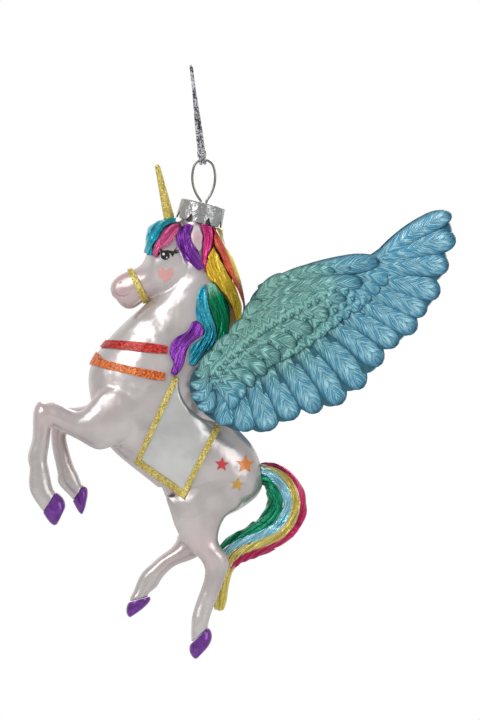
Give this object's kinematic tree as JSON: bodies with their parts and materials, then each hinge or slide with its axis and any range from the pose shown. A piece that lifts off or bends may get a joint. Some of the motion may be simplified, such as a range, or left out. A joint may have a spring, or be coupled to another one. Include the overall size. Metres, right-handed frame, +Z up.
{
  "type": "hanging glass unicorn ornament",
  "caption": "Hanging glass ornament shaped as a rearing winged unicorn, with crown cap, sprung wire hanger, cord loop and rainbow mane, wings and tail.",
  "frame": {"origin": "where a hook carries the cord, at the inside of the loop's top", "axes": "+Z up along the hanging cord, the unicorn faces -X, its left side faces -Y"},
  "size_m": [0.1254, 0.0562, 0.1652],
  "materials": {
    "cord": "braided metallic thread, silver and black",
    "hanger_wire": "bright spring wire",
    "cap_metal": "bright stamped sheet",
    "pearl_glass": "pearl lacquer on blown glass, opaque",
    "hoof_purple": "glossy purple lacquer on glass",
    "gold_glitter": "gold glitter in lacquer",
    "ear_pearl": "pearl lacquer with a pink blush",
    "lacquer_blue": "glossy translucent lacquer over silver",
    "lacquer_pink": "glossy translucent lacquer over silver",
    "lacquer_violet": "glossy translucent lacquer over silver",
    "lacquer_magenta": "glossy translucent lacquer over silver",
    "lacquer_gold": "glossy translucent lacquer over silver",
    "lacquer_orange": "glossy translucent lacquer over silver",
    "lacquer_teal": "glossy translucent lacquer over silver",
    "lacquer_green": "glossy translucent lacquer over silver",
    "glitter_red": "red glitter in lacquer",
    "glitter_orange": "orange glitter in lacquer",
    "blanket_silver": "silvery pearl lacquer",
    "wing_resin": "cast resin with mineral filler, lacquered teal to blue with white highlights",
    "tail_magenta": "cast resin with mineral filler, metallic lacquer",
    "tail_gold": "cast resin with mineral filler, metallic lacquer",
    "tail_blue": "cast resin with mineral filler, metallic lacquer",
    "tail_green": "cast resin with mineral filler, metallic lacquer"
  },
  "bodies": {
    "cord": {"cord_loop": "cord", "cord_hitch": "cord"},
    "hanger": {"wire_hanger": "hanger_wire"},
    "cap": {"crown_cap": "cap_metal"},
    "figure": {"glass_body": "pearl_glass", "front_leg_left": "pearl_glass", "front_leg_right": "pearl_glass", "hind_leg_left": "pearl_glass", "hind_leg_right": "pearl_glass", "front_hoof_left": "hoof_purple", "front_hoof_right": "hoof_purple", "hind_hoof_left": "hoof_purple", "hind_hoof_right": "hoof_purple", "horn": "gold_glitter", "ears": "ear_pearl", "forelock_blue": "lacquer_blue", "forelock_pink": "lacquer_pink", "temple_lock_violet": "lacquer_violet", "crest_lock_magenta": "lacquer_magenta", "crest_lock_gold": "lacquer_gold", "crest_lock_orange": "lacquer_orange", "crest_lock_rim": "lacquer_gold", "neck_lock_teal": "lacquer_teal", "neck_lock_green": "lacquer_green", "neck_lock_violet": "lacquer_violet", "noseband": "gold_glitter", "chest_strap_red": "glitter_red", "chest_strap_orange": "glitter_orange", "saddle_blanket": "blanket_silver", "saddle_trim": "gold_glitter", "wing_left": "wing_resin", "wing_right": "wing_resin", "tail_lock_magenta": "tail_magenta", "tail_lock_gold": "tail_gold", "tail_lock_blue": "tail_blue", "tail_lock_green": "tail_green"}
  },
  "joints": [
    {"name": "ornament_swing", "type": "hinge", "parent": "cord", "child": "hanger", "pos_m": [0, 0, -0.02875], "axis": [0, 1, 0], "range_deg": [-45, 45]},
    {"name": "hanger_rock", "type": "hinge", "parent": "hanger", "child": "cap", "pos_m": [-0.0013, 0, -0.0369], "axis": [0.9374, 0, -0.3483], "range_deg": [-8, 8]},
    {"name": "cap_pull", "type": "slide", "parent": "cap", "child": "figure", "axis": [-0.3483, 0, -0.9374], "range_m": [0, 0.018]}
  ]
}
